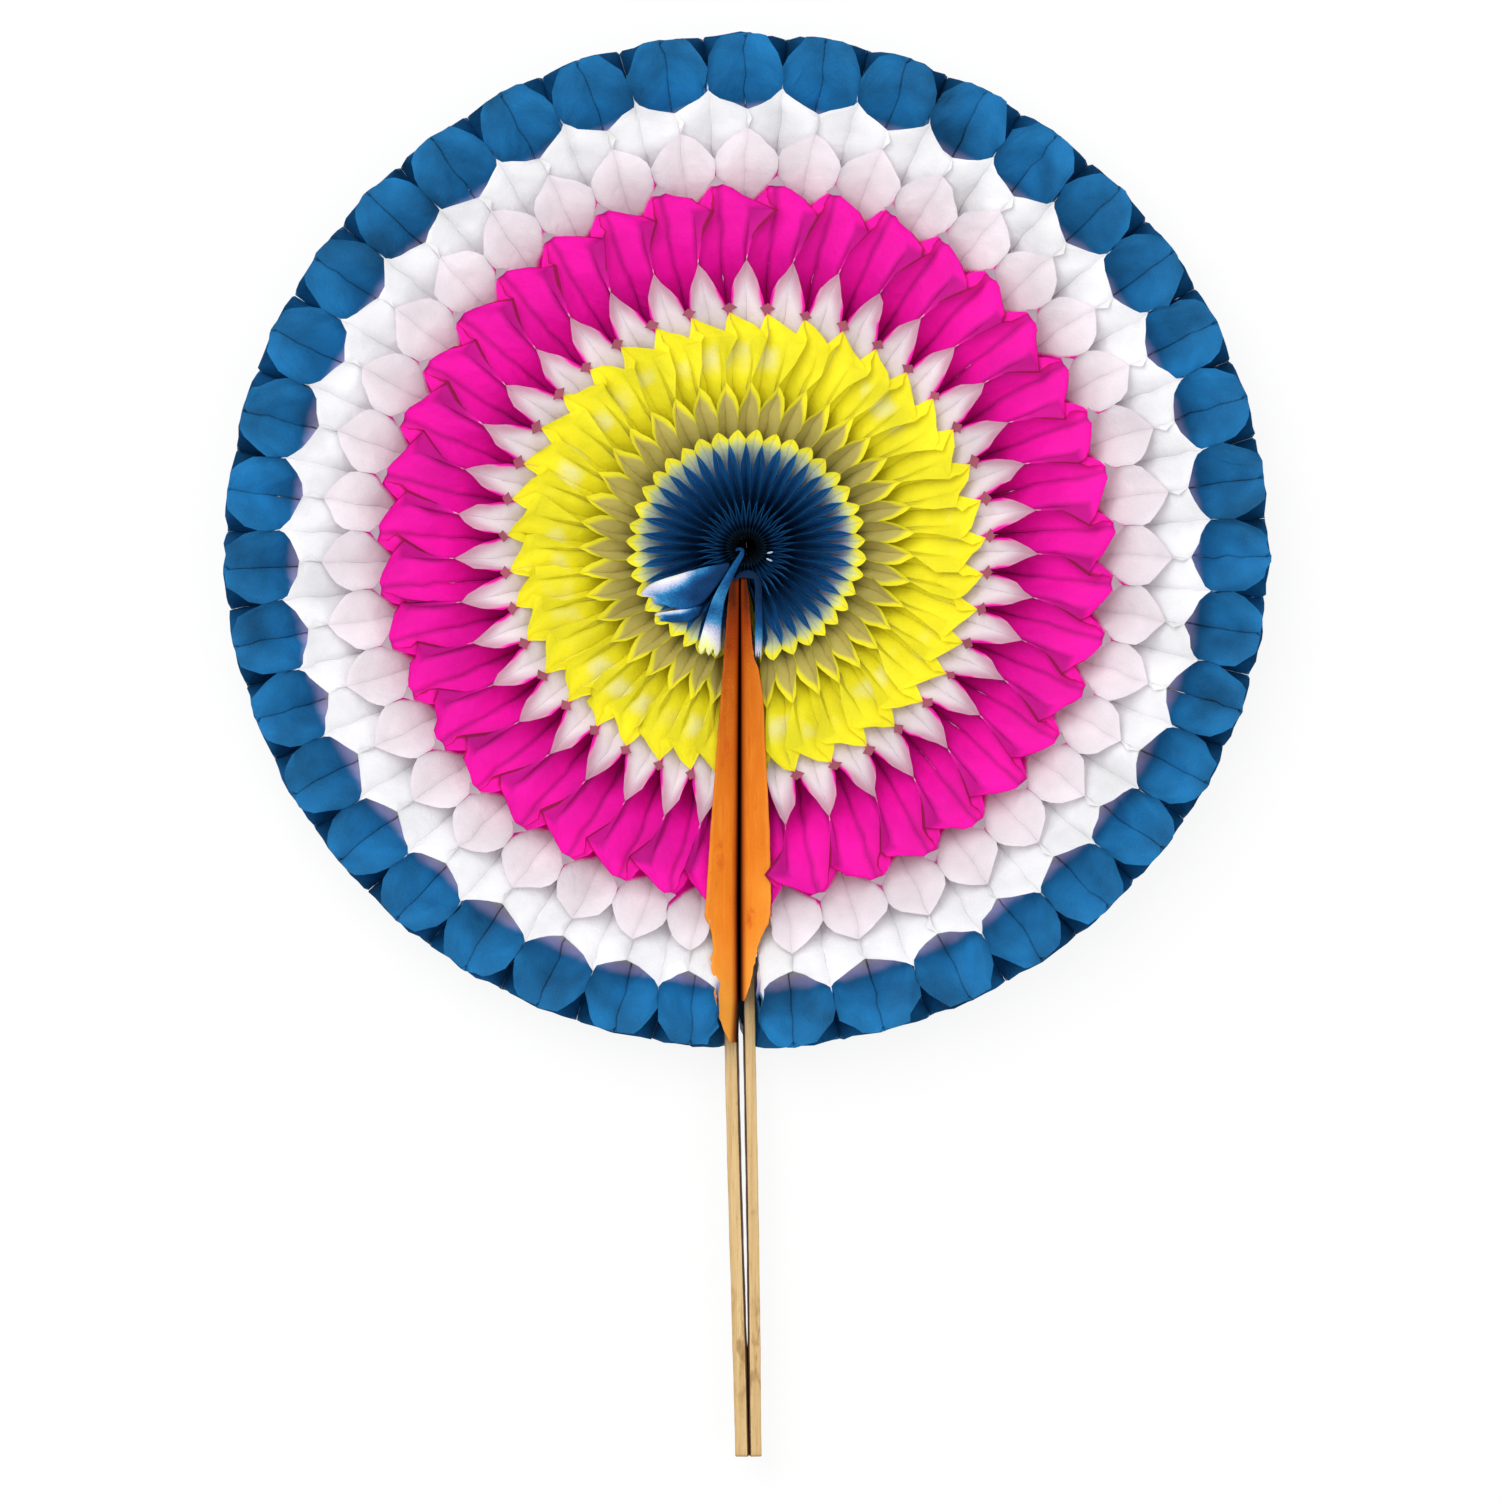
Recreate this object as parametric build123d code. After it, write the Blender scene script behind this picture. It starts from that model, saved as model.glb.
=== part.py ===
from build123d import *
import math
import os

# Honeycomb tissue-paper fan, opened all the way round into a disc and lying on its back.
# Millimetres, +Z up. The disc's axis is Z, its back lies on Z = 0, the sticks point to -Y.

# Tissue disc
fan_radius = 135.0
paper_width = 28.0
hub_radius = 3.2
flap_rise = 2.6
petal_count = 39

# Glued strips from the rim to the hub, as shares of the radius: where each begins and ends.
# Even strips lie on the blue petals' middles, odd ones half a pitch on.
strip_outer_shares = (1.071, 0.931, 0.849, 0.755, 0.653, 0.503, 0.405, 0.270, 0.211, 0.125)
strip_inner_shares = (1.029, 0.890, 0.811, 0.710, 0.556, 0.470, 0.322, 0.229, 0.205)
rim_valley_share = 1.154

# How many paper widths each ring's petals would fall over one fan radius, from the rim to the hub.
fold_shares = (3.47, 3.86, 3.54, 2.80, 1.57, 1.88, 2.68, 2.94, 3.28)
fold_slopes = [share * paper_width / fan_radius for share in fold_shares]

# How far the free front corners have been pushed clockwise, as shares of a pitch, and
# how far they stand up, as shares of flap_rise, at each strip's outer and inner end.
outer_lean_shares = (0.0, 0.0, 0.0, 0.0, 0.25, 0.0, 0.42, 0.19, 0.0, 0.0)
inner_lean_shares = (0.0, 0.0, 0.0, 0.0, 0.0, 0.10, 0.28, 0.05, 0.0)
outer_rise_shares = (0.0, 0.0, 0.0, 0.0, 1.0, 0.0, 1.0, 0.0, 0.0, 0.0)
inner_rise_shares = (0.0, 0.0, 0.0, 0.0, 0.0, 0.5, 0.0, 0.0, 0.0)

# Bamboo sticks
stick_side = 3.0
stick_edge_radius = 0.4
stick_inner_end = 25.0
handle_length = 103.3
rim_midline = -1.4
rim_spread = 4.7
tail_midline = 0.74
stick_gap = 0.3

# Cover papers, one on each wall of the V between the two end sheets
cover_thickness = 0.5
groove_start = 11.0
groove_start_mouth = 6.0
groove_rim_mouth = 21.0
groove_floor = 2.0
cover_foot = 0.8

# Outlines of the cover papers on their walls: share of the groove's run, share of the wall.
left_cover_shares = (
    (0.0, 0.0), (0.0, 1.0), (0.60, 1.0), (0.69, 0.86), (0.74, 0.58), (0.83, 0.44),
    (0.945, 0.22), (0.945, 0.0),
)
right_cover_shares = (
    (0.0, 0.0), (0.0, 1.0), (0.64, 1.0), (0.77, 0.55), (0.873, 0.12), (0.873, 0.0),
)

# Binding thread round the inner edges of the sheets
thread_diameter = 0.8

overrun = 6.0

# Worked out from the sizes above
pitch = 2 * math.pi / petal_count
last_ring = len(strip_inner_shares) - 1
groove_depth = paper_width / 2 - stick_side / 2 - groove_floor
tail_radius = fan_radius + handle_length
tail_spread = stick_side + stick_gap


def place(radius, turn, height):
    # turn is counted in pitches, clockwise from +Y as seen from the front
    return Vector(radius * math.sin(turn * pitch), radius * math.cos(turn * pitch), height)


def triangles(*corners):
    # a folded panel as flat triangles round its first corner
    return [
        Face(Wire.make_polygon([corners[0], corners[n], corners[n + 1]], close=True))
        for n in range(1, len(corners) - 1)
    ]


def flat(*corners):
    return [Face(Wire.make_polygon(list(corners), close=True))]


class Side:
    """One face of the disc: where each panel corner lies and how deep it is folded."""

    def __init__(self, front):
        self.front = front

    def level(self, drop, rise=0.0):
        return paper_width - drop + rise if self.front else drop

    def end(self, strip, inner):
        shares = strip_inner_shares if inner else strip_outer_shares
        leans = inner_lean_shares if inner else outer_lean_shares
        return shares[strip] * fan_radius, leans[strip] if self.front else 0.0

    def rise(self, strip, inner):
        shares = inner_rise_shares if inner else outer_rise_shares
        return shares[strip] * flap_rise if self.front else 0.0

    def corner(self, strip, inner, turn, drop, rise=0.0):
        radius, lean = self.end(strip, inner)
        return place(radius, turn + lean, self.level(drop, rise))

    def drops(self, ring):
        # depths at a petal's tip, shoulders, waist and foot: the front folds fall towards
        # the hub and the back folds fall towards the rim
        tip = strip_inner_shares[ring] * fan_radius
        shoulder = strip_outer_shares[ring + 1] * fan_radius
        waist = foot = hub_radius
        if ring < last_ring:
            waist = strip_inner_shares[ring + 1] * fan_radius
            foot = strip_outer_shares[ring + 2] * fan_radius
        across = (shoulder - waist) * fold_slopes[ring]
        along = (tip - foot) * fold_slopes[ring]
        return (0.0, 0.0, across, along) if self.front else (along, across, 0.0, 0.0)


def petal(side, ring, turn, hand):
    # half a petal, from its middle crease to one glued shoulder, and the step to the next ring
    tip_drop, shoulder_drop, waist_drop, foot_drop = side.drops(ring)
    beside = turn + hand / 2
    tip = side.corner(ring, True, turn, tip_drop, side.rise(ring, True))
    shoulder = side.corner(ring + 1, False, beside, shoulder_drop, side.rise(ring + 1, False))
    waist = side.corner(ring + 1, True, beside, waist_drop)
    foot = side.corner(ring + 2, False, turn, foot_drop)
    next_tip, next_shoulder = side.drops(ring + 1)[:2]
    step_tip = side.corner(ring + 1, True, beside, next_tip, side.rise(ring + 1, True))
    step_foot = side.corner(ring + 2, False, turn, next_shoulder, side.rise(ring + 2, False))
    return triangles(foot, tip, shoulder, waist) + flat(waist, foot, step_foot, step_tip)


def rim_levels(side):
    # drops round the rim: blue petal at its middle and edge, valley at its middle and edge
    blue_tip = strip_inner_shares[0] * fan_radius
    valley_tip = rim_valley_share * fan_radius
    valley_edge = (rim_valley_share + strip_outer_shares[0]) / 2 * fan_radius
    blue_foot = strip_outer_shares[2] * fan_radius
    blue_waist = (strip_outer_shares[2] + strip_inner_shares[1]) / 2 * fan_radius
    valley_foot = strip_outer_shares[1] * fan_radius
    if side.front:
        reaches = (blue_tip - fan_radius, 0.0, valley_tip - fan_radius, valley_edge - fan_radius)
    else:
        reaches = (fan_radius - blue_foot, fan_radius - blue_waist, fan_radius - valley_foot, 0.0)
    return [reach * fold_slopes[0] for reach in reaches]


def rim_panels(side, turn, hand):
    # half a blue rim petal, half the valley beside it and the step between them
    blue_mid, blue_edge, valley_mid, valley_edge = rim_levels(side)
    _, shoulder_drop, waist_drop, foot_drop = side.drops(0)
    valley_reach = (rim_valley_share - strip_outer_shares[1]) * fan_radius
    valley_drop = valley_reach * fold_slopes[0] if side.front else 0.0
    beside = turn + hand / 2
    between = turn + hand / 4
    middle = place(fan_radius, turn, side.level(blue_mid))
    edge = place(fan_radius, between, side.level(blue_edge))
    shoulder = side.corner(1, False, beside, shoulder_drop)
    waist = side.corner(1, True, beside, waist_drop)
    foot = side.corner(2, False, turn, foot_drop)
    low_edge = place(fan_radius, between, side.level(valley_edge))
    low_middle = place(fan_radius, beside, side.level(valley_mid))
    low_shoulder = side.corner(1, False, beside, valley_drop)
    next_tip, next_shoulder = side.drops(1)[:2]
    step_tip = side.corner(1, True, beside, next_tip)
    step_foot = side.corner(2, False, turn, next_shoulder)
    panels = triangles(foot, middle, edge, shoulder, waist)
    panels += flat(low_shoulder, low_edge, low_middle)
    panels += flat(shoulder, edge, low_edge, low_shoulder)
    panels += flat(waist, foot, step_foot, step_tip)
    return panels


def rim_wall(front, back, turn, hand):
    # the cut outer edges of the sheets, between the two faces
    levels = [
        [side.level(drop) for drop in rim_levels(side)] for side in (front, back)
    ]
    (blue_mid, blue_edge, valley_mid, valley_edge), lower = levels
    low_blue_mid, low_blue_edge, low_valley_mid, low_valley_edge = lower
    beside = turn + hand / 2
    between = turn + hand / 4
    edge_levels = (blue_edge, valley_edge, low_blue_edge, low_valley_edge)
    edges = [place(fan_radius, between, level) for level in edge_levels]
    middles = [place(fan_radius, turn, level) for level in (blue_mid, low_blue_mid)]
    valleys = [place(fan_radius, beside, level) for level in (valley_mid, low_valley_mid)]
    return flat(middles[0], edges[0], edges[1], edges[2], middles[1]) + flat(
        edges[1], valleys[0], valleys[1], edges[3], edges[2]
    )


def hub_edge(side, turn, hand):
    _, _, waist_drop, foot_drop = side.drops(last_ring)
    middle = place(hub_radius, turn, side.level(foot_drop))
    beside = place(hub_radius, turn + hand / 2, side.level(waist_drop))
    return middle, beside


def hub_panels(side, turn, hand):
    # pleats of the last ring, running into the hole at the hub
    tip_drop, shoulder_drop, _, _ = side.drops(last_ring)
    tip = side.corner(last_ring, True, turn, tip_drop)
    shoulder = side.corner(last_ring + 1, False, turn + hand / 2, shoulder_drop)
    return triangles(*hub_edge(side, turn, hand), shoulder, tip)


def make_disc():
    front = Side(True)
    back = Side(False)
    panels = []
    for column in range(petal_count):
        for hand in (-1, 1):
            for side in (front, back):
                panels += rim_panels(side, column, hand)
                for ring in range(1, last_ring):
                    panels += petal(side, ring, column + ring % 2 / 2, hand)
                panels += hub_panels(side, column, hand)
            panels += rim_wall(front, back, column, hand)
            panels += flat(*hub_edge(front, column, hand), *reversed(hub_edge(back, column, hand)))
    return Solid(Shell(panels))


def groove_half_mouth(radius):
    along = (radius - groove_start) / (fan_radius - groove_start)
    return (groove_start_mouth + (groove_rim_mouth - groove_start_mouth) * along) / 2


def groove_floor_point(radius):
    drop = groove_depth * groove_half_mouth(radius) / (groove_rim_mouth / 2)
    return Vector(rim_midline, -radius, paper_width - drop)


def groove_lip_point(radius, hand):
    return Vector(rim_midline + hand * groove_half_mouth(radius), -radius, paper_width)


def make_groove():
    # the V between the end sheets, open at the front and at the rim
    sections = []
    for radius in (groove_start, fan_radius + overrun):
        floor = groove_floor_point(radius)
        tops = []
        for hand in (-1, 1):
            wall = groove_lip_point(radius, hand) - floor
            tops.append(floor + wall * ((wall.Z + overrun) / wall.Z))
        sections.append(Face(Wire.make_polygon([floor, *tops], close=True)))
    return loft(sections, ruled=True)


def make_cover(outline_shares, hand):
    points = []
    for along_share, up_share in outline_shares:
        radius = groove_start + along_share * (fan_radius - groove_start)
        floor = groove_floor_point(radius)
        wall = groove_lip_point(radius, hand) - floor
        reach = cover_foot + up_share * (wall.length - cover_foot)
        points.append(floor + wall.normalized() * reach)
    sheet = Face(Wire.make_polygon(points, close=True))
    normal = sheet.normal_at()
    inward = normal if normal.X * hand < 0 else -normal
    return Solid.extrude(sheet, inward * cover_thickness)


def make_stick(hand):
    rim_x = rim_midline + hand * rim_spread / 2
    tail_x = tail_midline + hand * tail_spread / 2
    drift = (tail_x - rim_x) / handle_length
    inner_x = rim_x - drift * (fan_radius - stick_inner_end)
    half = stick_side / 2
    plan = Wire.make_polygon(
        [
            Vector(inner_x - half, -stick_inner_end, paper_width / 2 - half),
            Vector(inner_x + half, -stick_inner_end, paper_width / 2 - half),
            Vector(tail_x + half, -tail_radius, paper_width / 2 - half),
            Vector(tail_x - half, -tail_radius, paper_width / 2 - half),
        ],
        close=True,
    )
    rod = Solid.extrude(Face(plan), Vector(0, 0, stick_side))
    corners = [edge for edge in rod.edges() if edge.length > tail_radius - fan_radius]
    return fillet(corners, stick_edge_radius)


def make_thread():
    ring = Cylinder(hub_radius + thread_diameter / 2, thread_diameter)
    ring -= Cylinder(hub_radius - thread_diameter / 2, thread_diameter)
    return ring.translate((0, 0, paper_width / 2))


def main():
    os.makedirs("parts", exist_ok=True)
    left_stick = make_stick(-1)
    right_stick = make_stick(1)
    thread = make_thread()
    tissue = make_disc() - make_groove() - left_stick - right_stick - thread
    nodes = {
        "tissue_honeycomb": tissue,
        "left_cover_paper": make_cover(left_cover_shares, -1),
        "right_cover_paper": make_cover(right_cover_shares, 1),
        "left_stick": left_stick,
        "right_stick": right_stick,
        "binding_thread": thread,
    }
    for name, shape in nodes.items():
        export_step(shape, f"parts/{name}.step")


main()
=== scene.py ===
import bmesh
import bpy
import math
import numpy as np
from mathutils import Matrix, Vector


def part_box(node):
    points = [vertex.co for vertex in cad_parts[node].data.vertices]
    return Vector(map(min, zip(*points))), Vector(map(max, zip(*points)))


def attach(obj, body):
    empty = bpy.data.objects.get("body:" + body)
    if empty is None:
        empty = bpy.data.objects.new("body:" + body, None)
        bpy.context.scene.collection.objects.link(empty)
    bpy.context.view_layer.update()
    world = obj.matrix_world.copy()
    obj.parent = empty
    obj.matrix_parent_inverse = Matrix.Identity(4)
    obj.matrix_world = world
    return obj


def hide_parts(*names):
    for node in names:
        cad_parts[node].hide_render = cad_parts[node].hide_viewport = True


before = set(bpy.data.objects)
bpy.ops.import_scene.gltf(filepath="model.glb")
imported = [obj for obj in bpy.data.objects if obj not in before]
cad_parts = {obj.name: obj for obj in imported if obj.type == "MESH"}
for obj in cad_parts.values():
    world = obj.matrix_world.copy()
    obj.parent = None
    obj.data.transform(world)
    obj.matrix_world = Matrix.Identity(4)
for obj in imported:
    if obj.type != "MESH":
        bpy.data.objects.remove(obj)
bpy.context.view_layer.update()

# photo measures, in its own pixels
photo = {"side": 1500.0, "hubX": 746.4, "hubY": 547.5, "radius": 518.0}

tissueLow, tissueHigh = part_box("tissue_honeycomb")
fanRadius = (tissueHigh[0] - tissueLow[0]) / 2
flapRise = 0.0026               # the free corners stand this far over the front edges
frontZ = tissueHigh[2] - flapRise
pixel = fanRadius / photo["radius"]


def makeObject(name, mesh, material=None):
    obj = bpy.data.objects.new(name, mesh)
    bpy.context.scene.collection.objects.link(obj)
    if material:
        mesh.materials.clear()
        mesh.materials.append(material)
    return obj


def meshFrom(name, points, faces, attributes=None):
    mesh = bpy.data.meshes.new(name)
    mesh.from_pydata([tuple(p) for p in points], [], [tuple(f) for f in faces])
    for key, values in (attributes or {}).items():
        layer = mesh.attributes.new(key, "FLOAT", "POINT")
        layer.data.foreach_set("value", np.asarray(values, dtype=np.float32))
    mesh.polygons.foreach_set("use_smooth", [True] * len(mesh.polygons))
    mesh.update()
    return mesh


# studio: camera over the hub side of the picture, soft light, pale floor
studio = {
    "cameraHeight": 1.70,
    "worldLight": 0.52,
    "keySize": 0.9,
    "keyPower": 11.5,
    "keyPlace": (-0.38, 0.42, 1.25),
    "fillSize": 1.2,
    "fillPower": 6.0,
    "fillPlace": (0.45, -0.25, 1.4),
    "floorSize": 6.0,
    "floorColour": (0.92, 0.92, 0.92, 1.0),
    "floorRoughness": 0.9,
    "floorWhite": 0.85,         # how far the seen floor is lifted to plain white
}


def buildStudio():
    scene = bpy.context.scene
    scene.view_settings.view_transform = "Standard"
    camera = bpy.data.cameras.new("camera")
    frameWidth = photo["side"] * pixel
    camera.sensor_width = 36.0
    camera.lens = camera.sensor_width * studio["cameraHeight"] / frameWidth
    camera.clip_end = 20.0
    cameraObject = bpy.data.objects.new("camera", camera)
    middle = photo["side"] / 2
    cameraObject.location = (
        (middle - photo["hubX"]) * pixel,
        (photo["hubY"] - middle) * pixel,
        frontZ + studio["cameraHeight"],
    )
    scene.collection.objects.link(cameraObject)
    scene.camera = cameraObject
    world = bpy.data.worlds.new("softRoom")
    world.use_nodes = True
    world.node_tree.nodes["Background"].inputs[0].default_value = (1, 1, 1, 1)
    world.node_tree.nodes["Background"].inputs[1].default_value = studio["worldLight"]
    scene.world = world
    for name in ("key", "fill"):
        light = bpy.data.lights.new(name, "AREA")
        light.size = studio[name + "Size"]
        light.energy = studio[name + "Power"]
        lamp = bpy.data.objects.new(name, light)
        lamp.location = studio[name + "Place"]
        aim = Vector((0, 0, frontZ)) - lamp.location
        lamp.rotation_euler = aim.to_track_quat("-Z", "Y").to_euler()
        scene.collection.objects.link(lamp)
    half = studio["floorSize"] / 2
    corners = [(-half, -half, 0), (half, -half, 0), (half, half, 0), (-half, half, 0)]
    floor = makeObject("floor", meshFrom("floor", corners, [(0, 1, 2, 3)]), floorMaterial())
    print("studio ready")


def floorMaterial():
    material, tree, matte = newMaterial("paleFloor")
    matte.inputs["Base Color"].default_value = studio["floorColour"]
    matte.inputs["Roughness"].default_value = studio["floorRoughness"]
    glow = tree.nodes.new("ShaderNodeEmission")
    glow.inputs["Strength"].default_value = 1.0
    path = tree.nodes.new("ShaderNodeLightPath").outputs
    seen = calc(tree, "MAXIMUM", path["Is Camera Ray"], path["Is Glossy Ray"])
    seen = calc(tree, "MAXIMUM", seen, path["Is Transmission Ray"])
    mixShaders(tree, product(tree, seen, studio["floorWhite"]), matte, glow)
    return material


# small helpers for material trees
def feed(tree, socket, value):
    if isinstance(value, bpy.types.NodeSocket):
        tree.links.new(value, socket)
    elif value is not None:
        socket.default_value = value


def calc(tree, operation, *values, clamp=False):
    node = tree.nodes.new("ShaderNodeMath")
    node.operation = operation
    node.use_clamp = clamp
    for socket, value in zip(node.inputs, values):
        feed(tree, socket, value)
    return node.outputs[0]


def fade(tree, value, low, high):
    # 0 at low, 1 at high, soft between them; low may be the larger
    node = tree.nodes.new("ShaderNodeMapRange")
    node.interpolation_type = "SMOOTHSTEP"
    feed(tree, node.inputs["Value"], value)
    feed(tree, node.inputs["From Min"], low)
    feed(tree, node.inputs["From Max"], high)
    return node.outputs["Result"]


def product(tree, *values):
    total = values[0]
    for value in values[1:]:
        total = calc(tree, "MULTIPLY", total, value)
    return total


def band(tree, value, start, full, fullTo, end):
    # 1 from full to fullTo, 0 before start and past end
    return product(tree, fade(tree, value, start, full), fade(tree, value, end, fullTo))


def blendColours(tree, share, first, second):
    node = tree.nodes.new("ShaderNodeMix")
    node.data_type = "RGBA"
    feed(tree, node.inputs["Factor"], share)
    for socket, colour in ((node.inputs[6], first), (node.inputs[7], second)):
        feed(tree, socket, colour if isinstance(colour, bpy.types.NodeSocket) else (*colour, 1.0))
    return node.outputs[2]


def tint(tree, colour, tone, *shares):
    return blendColours(tree, product(tree, *shares), colour, tone)


def brightened(tree, colour, value):
    node = tree.nodes.new("ShaderNodeHueSaturation")
    feed(tree, node.inputs["Value"], value)
    feed(tree, node.inputs["Color"], colour)
    return node.outputs["Color"]


def mixShaders(tree, share, first, second):
    node = tree.nodes.new("ShaderNodeMixShader")
    feed(tree, node.inputs[0], share)
    tree.links.new(first.outputs[0], node.inputs[1])
    tree.links.new(second.outputs[0], node.inputs[2])
    tree.links.new(node.outputs[0], tree.nodes["Material Output"].inputs["Surface"])


def rampOf(tree, value, stops):
    node = tree.nodes.new("ShaderNodeValToRGB")
    elements = node.color_ramp.elements
    while len(elements) > 1:
        elements.remove(elements[-1])
    elements[0].position = stops[0][0]
    elements[0].color = (*stops[0][1], 1.0)
    for place, colour in stops[1:]:
        elements.new(place).color = (*colour, 1.0)
    feed(tree, node.inputs["Fac"], value)
    return node.outputs["Color"]


def grainOf(tree, vector, scale, detail=3.0, roughness=0.55):
    node = tree.nodes.new("ShaderNodeTexNoise")
    feed(tree, node.inputs["Vector"], vector)
    feed(tree, node.inputs["Scale"], scale)
    node.inputs["Detail"].default_value = detail
    node.inputs["Roughness"].default_value = roughness
    return node.outputs["Fac"]


def attributeOf(tree, name):
    node = tree.nodes.new("ShaderNodeAttribute")
    node.attribute_name = name
    return node.outputs["Fac"]


def objectPlace(tree):
    return tree.nodes.new("ShaderNodeTexCoord").outputs["Object"]


def stretched(tree, vector, scale):
    node = tree.nodes.new("ShaderNodeMapping")
    node.inputs["Scale"].default_value = scale
    feed(tree, node.inputs["Vector"], vector)
    return node.outputs["Vector"]


def newMaterial(name):
    material = bpy.data.materials.new(name)
    material.use_nodes = True
    return material, material.node_tree, material.node_tree.nodes["Principled BSDF"]


# handled paper: soft dents, sharper folds, fine fibres and uneven dye
handledPaper = {
    "fibreHeight": 0.12,
    "foldHeight": 0.55,
    "foldScale": 0.55,          # of the dents' scale
    "cloudScale": 0.45,         # of the dents' scale
    "fibreDye": 0.35,
    "evenDye": 0.68,            # what the dye comes to in the middle
}


def paperFibreGroup():
    group = bpy.data.node_groups.new("paperFibre", "ShaderNodeTree")
    sockets = (
        ("Place", "INPUT", "NodeSocketVector"), ("Dent Scale", "INPUT", "NodeSocketFloat"),
        ("Fibre Scale", "INPUT", "NodeSocketFloat"), ("Height", "OUTPUT", "NodeSocketFloat"),
        ("Dye", "OUTPUT", "NodeSocketFloat"),
    )
    for name, way, kind in sockets:
        group.interface.new_socket(name, in_out=way, socket_type=kind)
    start = group.nodes.new("NodeGroupInput").outputs
    end = group.nodes.new("NodeGroupOutput").inputs
    dents = grainOf(group, start["Place"], start["Dent Scale"], 3.0, 0.6)
    fibres = grainOf(group, start["Place"], start["Fibre Scale"], 2.0, 0.7)
    folds = group.nodes.new("ShaderNodeTexVoronoi")
    folds.feature = "F1"
    feed(group, folds.inputs["Vector"], start["Place"])
    feed(group, folds.inputs["Scale"], product(group, start["Dent Scale"], handledPaper["foldScale"]))
    height = calc(group, "MULTIPLY_ADD", fibres, handledPaper["fibreHeight"], dents)
    height = calc(group, "MULTIPLY_ADD", folds.outputs["Distance"], handledPaper["foldHeight"], height)
    cloudScale = product(group, start["Dent Scale"], handledPaper["cloudScale"])
    clouds = grainOf(group, start["Place"], cloudScale, 2.0, 0.5)
    group.links.new(height, end["Height"])
    group.links.new(calc(group, "MULTIPLY_ADD", fibres, handledPaper["fibreDye"], clouds), end["Dye"])
    return group


def paperFibre(tree, group, dentScale, fibreScale):
    # height for the bump, and how far the dye is from its middle
    node = tree.nodes.new("ShaderNodeGroup")
    node.node_tree = group
    feed(tree, node.inputs["Place"], objectPlace(tree))
    node.inputs["Dent Scale"].default_value = dentScale
    node.inputs["Fibre Scale"].default_value = fibreScale
    return node.outputs["Height"], calc(tree, "SUBTRACT", node.outputs["Dye"], handledPaper["evenDye"])


def bumpInto(tree, shader, height, strength, distance):
    node = tree.nodes.new("ShaderNodeBump")
    node.inputs["Strength"].default_value = strength
    node.inputs["Distance"].default_value = distance
    feed(tree, node.inputs["Height"], height)
    feed(tree, shader.inputs["Normal"], node.outputs["Normal"])


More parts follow.
